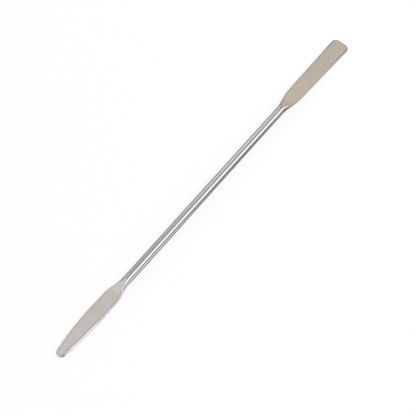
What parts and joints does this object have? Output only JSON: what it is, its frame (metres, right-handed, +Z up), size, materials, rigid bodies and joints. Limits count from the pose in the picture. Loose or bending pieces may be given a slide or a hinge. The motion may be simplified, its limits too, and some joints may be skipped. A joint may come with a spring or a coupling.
{
  "type": "lab spatula",
  "caption": "Double-ended laboratory micro spatula: a round polished rod pressed flat at each end, into a tapered round-tipped blade and a square blade with rounded corners.",
  "frame": {"origin": "the point of the resting surface below the middle of the length, under the rod's centre line", "axes": "+X along the rod from the tapered blade to the square blade, +Y across the blades, +Z up, square to the tapered blade's flats"},
  "size_m": [0.16, 0.007, 0.0032],
  "materials": {
    "stainless_steel": "bright polished round rod and rounded edges, with satin flats on both blades"
  },
  "bodies": {
    "root": {"spatula": "stainless_steel"}
  },
  "joints": []
}
